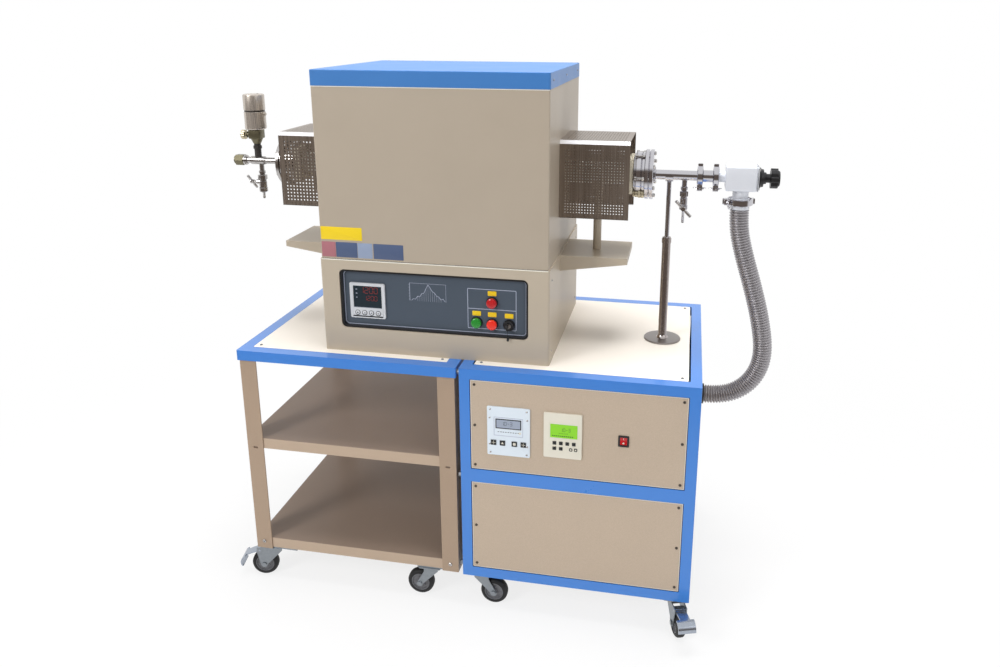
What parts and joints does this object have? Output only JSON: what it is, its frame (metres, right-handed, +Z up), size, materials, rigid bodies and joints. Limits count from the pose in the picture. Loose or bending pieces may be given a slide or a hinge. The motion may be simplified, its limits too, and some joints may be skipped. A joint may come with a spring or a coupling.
{
  "type": "tube furnace",
  "caption": "High-temperature tube furnace with guarded work tube, gas inlet, vacuum line and hose, standing on an open cart and a pump cabinet with casters.",
  "frame": {"origin": "on the floor, under the middle of the rigid pieces' overall box", "axes": "+Z up, +X from the gas inlet to the vacuum valve, +Y from the control panel to the back"},
  "size_m": [1.5407, 0.7343, 1.439],
  "materials": {
    "blue_enamel": "smooth blue stove enamel",
    "beige_enamel": "fine-textured beige powder coat",
    "cream_enamel": "smooth beige enamel",
    "cream_laminate": "cream laminated board",
    "slate_enamel": "slate grey satin panel",
    "fibre_ceramic": "pressed ceramic fibre",
    "alumina": "fired alumina",
    "element_steel": "dark molybdenum disilicide",
    "stainless": "brushed stainless steel",
    "chrome": "polished stainless steel",
    "bare_aluminium": "smooth cast aluminium",
    "hose_steel": "corrugated stainless bellows",
    "zinc_plate": "zinc plated steel",
    "olive_brass": "dull olive brass",
    "gauge_enamel": "light grey enamel",
    "controller_plastic": "light grey moulding",
    "instrument_plastic": "pale instrument plate",
    "pump_iron": "dark painted casting",
    "red_plastic": "glossy red",
    "green_plastic": "glossy green",
    "black_plastic": "black moulding",
    "tyre_rubber": "black rubber on a grey hub",
    "pedal_steel": "bright pressed steel"
  },
  "bodies": {
    "frame": {"cart_top_frame": "blue_enamel", "table_boards": "cream_laminate", "cart_legs": "beige_enamel", "cart_shelves": "beige_enamel", "cabinet_frame": "blue_enamel", "cabinet_panels": "beige_enamel", "coupling_bolts": "zinc_plate", "caster_plates": "zinc_plate", "furnace_base": "cream_enamel", "control_panel": "slate_enamel", "furnace_body": "cream_enamel", "furnace_lid": "blue_enamel", "ceramic_insulation": "fibre_ceramic", "heating_elements": "element_steel", "thermocouple": "alumina", "work_tube": "alumina", "tube_guards": "stainless", "side_brackets": "cream_enamel", "tube_flanges": "stainless", "inlet_manifold": "stainless", "gauge_valve": "olive_brass", "gauge_head": "gauge_enamel", "exhaust_pipe": "stainless", "clamp_rings": "chrome", "angle_valve": "bare_aluminium", "support_pole": "chrome", "vacuum_hose": "hose_steel", "hose_port": "stainless", "temperature_controller": "controller_plastic", "panel_instruments": "instrument_plastic", "vacuum_pump": "pump_iron", "power_transformer": "pump_iron"},
    "support_rod": {"support_rod": "chrome"},
    "power_rocker": {"power_rocker": "red_plastic"},
    "stop_button": {"stop_button": "red_plastic"},
    "start_button": {"start_button": "green_plastic"},
    "heat_button": {"heat_button": "red_plastic"},
    "key_switch": {"key_switch": "black_plastic"},
    "valve_knob": {"valve_knob": "black_plastic"},
    "inlet_valve_handle": {"inlet_valve_handle": "stainless"},
    "outlet_valve_handle": {"outlet_valve_handle": "stainless"},
    "gauge_valve_knob": {"gauge_valve_knob": "olive_brass"},
    "caster_fork_front_left": {"caster_fork_front_left": "zinc_plate"},
    "caster_wheel_front_left": {"caster_wheel_front_left": "tyre_rubber"},
    "brake_pedal_front_left": {"brake_pedal_front_left": "pedal_steel"},
    "caster_fork_front_mid_left": {"caster_fork_front_mid_left": "zinc_plate"},
    "caster_wheel_front_mid_left": {"caster_wheel_front_mid_left": "tyre_rubber"},
    "caster_fork_front_mid_right": {"caster_fork_front_mid_right": "zinc_plate"},
    "caster_wheel_front_mid_right": {"caster_wheel_front_mid_right": "tyre_rubber"},
    "caster_fork_front_right": {"caster_fork_front_right": "zinc_plate"},
    "caster_wheel_front_right": {"caster_wheel_front_right": "tyre_rubber"},
    "brake_pedal_front_right": {"brake_pedal_front_right": "pedal_steel"},
    "caster_fork_rear_left": {"caster_fork_rear_left": "zinc_plate"},
    "caster_wheel_rear_left": {"caster_wheel_rear_left": "tyre_rubber"},
    "caster_fork_rear_mid_left": {"caster_fork_rear_mid_left": "zinc_plate"},
    "caster_wheel_rear_mid_left": {"caster_wheel_rear_mid_left": "tyre_rubber"},
    "caster_fork_rear_mid_right": {"caster_fork_rear_mid_right": "zinc_plate"},
    "caster_wheel_rear_mid_right": {"caster_wheel_rear_mid_right": "tyre_rubber"},
    "caster_fork_rear_right": {"caster_fork_rear_right": "zinc_plate"},
    "caster_wheel_rear_right": {"caster_wheel_rear_right": "tyre_rubber"}
  },
  "joints": [
    {"name": "swivel_front_left", "type": "hinge", "parent": "frame", "child": "caster_fork_front_left", "pos_m": [-0.5845, -0.255, 0.1], "axis": [0, 0, 1], "continuous": true},
    {"name": "roll_front_left", "type": "hinge", "parent": "caster_fork_front_left", "child": "caster_wheel_front_left", "pos_m": [-0.61678, -0.26186, 0.0375], "axis": [-0.2079, 0.9781, 0], "continuous": true},
    {"name": "brake_front_left", "type": "hinge", "parent": "caster_fork_front_left", "child": "brake_pedal_front_left", "pos_m": [-0.62754, -0.26415, 0.083], "axis": [0.2079, -0.9781, 0], "range_deg": [-28, 0]},
    {"name": "swivel_front_mid_left", "type": "hinge", "parent": "frame", "child": "caster_fork_front_mid_left", "pos_m": [-0.1135, -0.255, 0.1], "axis": [0, 0, 1], "continuous": true},
    {"name": "roll_front_mid_left", "type": "hinge", "parent": "caster_fork_front_mid_left", "child": "caster_wheel_front_mid_left", "pos_m": [-0.1465, -0.255, 0.0375], "axis": [0, 1, 0], "continuous": true},
    {"name": "swivel_front_mid_right", "type": "hinge", "parent": "frame", "child": "caster_fork_front_mid_right", "pos_m": [0.0315, -0.255, 0.1], "axis": [0, 0, 1], "continuous": true},
    {"name": "roll_front_mid_right", "type": "hinge", "parent": "caster_fork_front_mid_right", "child": "caster_wheel_front_mid_right", "pos_m": [0.0645, -0.255, 0.0375], "axis": [0, -1, 0], "continuous": true},
    {"name": "swivel_front_right", "type": "hinge", "parent": "frame", "child": "caster_fork_front_right", "pos_m": [0.5545, -0.258, 0.1], "axis": [0, 0, 1], "continuous": true},
    {"name": "roll_front_right", "type": "hinge", "parent": "caster_fork_front_right", "child": "caster_wheel_front_right", "pos_m": [0.5647, -0.28939, 0.0375], "axis": [-0.9511, -0.309, 0], "continuous": true},
    {"name": "brake_front_right", "type": "hinge", "parent": "caster_fork_front_right", "child": "brake_pedal_front_right", "pos_m": [0.5681, -0.29985, 0.083], "axis": [0.9511, 0.309, 0], "range_deg": [0, 28]},
    {"name": "swivel_rear_left", "type": "hinge", "parent": "frame", "child": "caster_fork_rear_left", "pos_m": [-0.5845, 0.293, 0.1], "axis": [0, 0, 1], "continuous": true},
    {"name": "roll_rear_left", "type": "hinge", "parent": "caster_fork_rear_left", "child": "caster_wheel_rear_left", "pos_m": [-0.61153, 0.27407, 0.0375], "axis": [-0.5736, 0.8192, 0], "continuous": true},
    {"name": "swivel_rear_mid_left", "type": "hinge", "parent": "frame", "child": "caster_fork_rear_mid_left", "pos_m": [-0.1135, 0.293, 0.1], "axis": [0, 0, 1], "continuous": true},
    {"name": "roll_rear_mid_left", "type": "hinge", "parent": "caster_fork_rear_mid_left", "child": "caster_wheel_rear_mid_left", "pos_m": [-0.13558, 0.31752, 0.0375], "axis": [0.7431, 0.6691, 0], "continuous": true},
    {"name": "swivel_rear_mid_right", "type": "hinge", "parent": "frame", "child": "caster_fork_rear_mid_right", "pos_m": [0.0315, 0.293, 0.1], "axis": [0, 0, 1], "continuous": true},
    {"name": "roll_rear_mid_right", "type": "hinge", "parent": "caster_fork_rear_mid_right", "child": "caster_wheel_rear_mid_right", "pos_m": [0.0315, 0.326, 0.0375], "axis": [1, 0, 0], "continuous": true},
    {"name": "swivel_rear_right", "type": "hinge", "parent": "frame", "child": "caster_fork_rear_right", "pos_m": [0.5545, 0.293, 0.1], "axis": [0, 0, 1], "continuous": true},
    {"name": "roll_rear_right", "type": "hinge", "parent": "caster_fork_rear_right", "child": "caster_wheel_rear_right", "pos_m": [0.52349, 0.28171, 0.0375], "axis": [-0.342, 0.9397, 0], "continuous": true},
    {"name": "support_rod_slide", "type": "slide", "parent": "frame", "child": "support_rod", "axis": [0, 0, -1], "range_m": [0, 0.13]},
    {"name": "power_rocker_tilt", "type": "hinge", "parent": "frame", "child": "power_rocker", "pos_m": [0.407, -0.286, 0.545], "axis": [1, 0, 0], "range_deg": [0, 24]},
    {"name": "stop_button_press", "type": "slide", "parent": "frame", "child": "stop_button", "axis": [0, 1, 0], "range_m": [0, 0.003], "stiffness_N_per_m": 400, "springref_m": -0.001},
    {"name": "start_button_press", "type": "slide", "parent": "frame", "child": "start_button", "axis": [0, 1, 0], "range_m": [0, 0.003], "stiffness_N_per_m": 400, "springref_m": -0.001},
    {"name": "heat_button_press", "type": "slide", "parent": "frame", "child": "heat_button", "axis": [0, 1, 0], "range_m": [0, 0.003], "stiffness_N_per_m": 400, "springref_m": -0.001},
    {"name": "key_turn", "type": "hinge", "parent": "frame", "child": "key_switch", "pos_m": [0.1015, -0.231, 0.805], "axis": [0, -1, 0], "range_deg": [0, 90]},
    {"name": "valve_knob_turn", "type": "hinge", "parent": "frame", "child": "valve_knob", "pos_m": [0.75, 0.019, 1.165], "axis": [1, 0, 0], "range_deg": [0, 1080]},
    {"name": "inlet_valve_turn", "type": "hinge", "parent": "frame", "child": "inlet_valve_handle", "pos_m": [-0.71, 0.019, 1.102], "axis": [-1, 0, 0], "range_deg": [0, 720]},
    {"name": "outlet_valve_turn", "type": "hinge", "parent": "frame", "child": "outlet_valve_handle", "pos_m": [0.522, -0.001, 1.082], "axis": [0, -1, 0], "range_deg": [0, 720]},
    {"name": "gauge_valve_turn", "type": "hinge", "parent": "frame", "child": "gauge_valve_knob", "pos_m": [-0.725, 0.019, 1.2385], "axis": [-1, 0, 0], "range_deg": [0, 720]}
  ]
}
